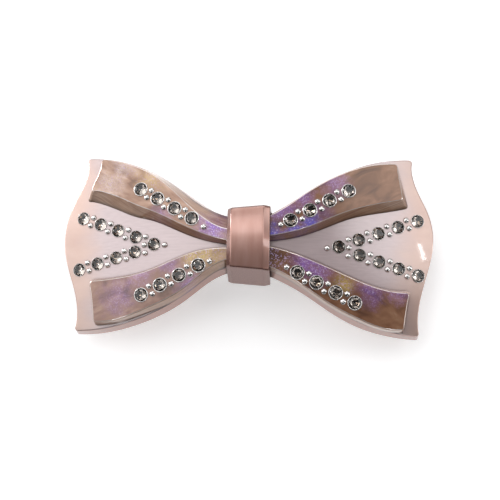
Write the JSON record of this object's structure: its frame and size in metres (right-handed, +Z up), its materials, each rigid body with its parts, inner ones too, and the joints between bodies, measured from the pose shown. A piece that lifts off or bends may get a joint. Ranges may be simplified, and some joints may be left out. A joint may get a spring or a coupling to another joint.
{
  "type": "hair clip",
  "caption": "Bow-shaped barrette: arched pearl bow with raised smoky tails, rows of faceted stones and silver pins, on a steel spring clip.",
  "frame": {"origin": "on the table under the middle of the bow, which lies on the clip's ears and prongs", "axes": "+X along the bow towards the catch, +Y towards the bow's upper edge, +Z up through the bow's face"},
  "size_m": [0.0902, 0.0444, 0.0207],
  "materials": {
    "pearl_base": "champagne pearl, satin grain",
    "smoky_acetate": "glossy iridescent smoky acetate",
    "rose_pearl": "glossy rose pearl",
    "smoky_crystal": "faceted, dark smoke",
    "silver": "polished silver",
    "nickel_steel": "nickel plated, fine grain",
    "spring_steel": "tempered, satin",
    "glue": "cured clear glue"
  },
  "bodies": {
    "bow": {"bow_base": "pearl_base", "knot_band": "rose_pearl", "glue_bed": "glue", "clip_plate": "nickel_steel", "catch_bracket": "nickel_steel", "catch_rivet": "nickel_steel", "hinge_pin": "nickel_steel", "tension_bar": "spring_steel", "tail_upper_left": "smoky_acetate", "tail_lower_left": "smoky_acetate", "tail_upper_right": "smoky_acetate", "tail_lower_right": "smoky_acetate", "stones_v_left": "smoky_crystal", "pins_v_left": "silver", "stones_v_right": "smoky_crystal", "pins_v_right": "silver", "stones_tail_upper_left": "smoky_crystal", "pins_tail_upper_left": "silver", "stones_tail_lower_left": "smoky_crystal", "pins_tail_lower_left": "silver", "stones_tail_upper_right": "smoky_crystal", "pins_tail_upper_right": "silver", "stones_tail_lower_right": "smoky_crystal", "pins_tail_lower_right": "silver"},
    "arm": {"swing_arm": "nickel_steel"},
    "prong_front": {"catch_prong_front": "spring_steel"},
    "prong_back": {"catch_prong_back": "spring_steel"}
  },
  "joints": [
    {"name": "arm_swing", "type": "hinge", "parent": "bow", "child": "arm", "pos_m": [-0.034, 0, 0.002], "axis": [0, 1, 0], "range_deg": [0, 75]},
    {"name": "prong_front_pinch", "type": "hinge", "parent": "bow", "child": "prong_front", "pos_m": [0.0345, -0.00235, 0.00625], "axis": [1, 0, 0], "range_deg": [0, 6], "stiffness_Nm_per_rad": 0.0004},
    {"name": "prong_back_pinch", "type": "hinge", "parent": "bow", "child": "prong_back", "pos_m": [0.0345, 0.00235, 0.00625], "axis": [-1, 0, 0], "range_deg": [0, 6], "stiffness_Nm_per_rad": 0.0004}
  ],
  "couplings": [
    {"joint": "prong_back_pinch", "follows": "prong_front_pinch", "ratio": 1}
  ]
}
